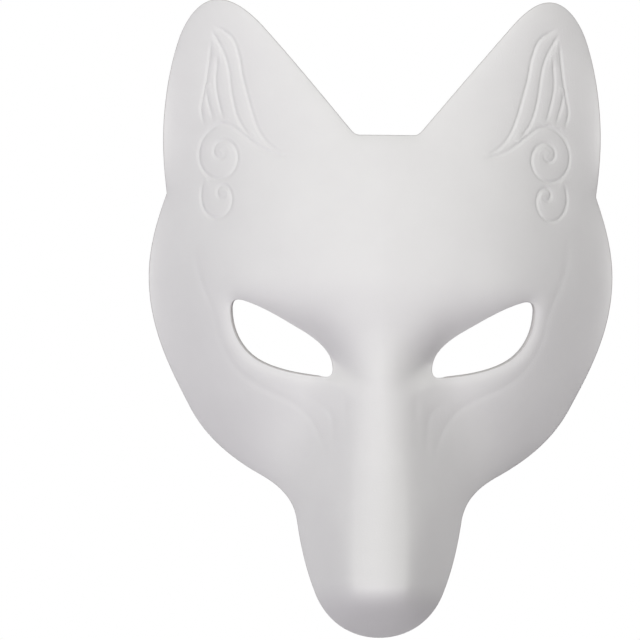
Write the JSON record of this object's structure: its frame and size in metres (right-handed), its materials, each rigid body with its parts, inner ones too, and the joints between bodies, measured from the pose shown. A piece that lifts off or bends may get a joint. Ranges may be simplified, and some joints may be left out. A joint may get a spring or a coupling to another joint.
{
  "type": "fox mask",
  "caption": "Full-face fox mask with tall ears, slanted eye holes, a long open snout and pressed flame and scroll lines on the ears.",
  "frame": {"origin": "middle of the box round the mask, on the plane that it rests on", "axes": "+X to the right of the picture, +Y from the chin to the ears, +Z out of the face, away from the surface that it lies on"},
  "size_m": [0.1846, 0.2504, 0.0877],
  "materials": {
    "pulp": "matte white moulded paper pulp"
  },
  "bodies": {
    "root": {"mask_shell": "pulp"}
  },
  "joints": []
}
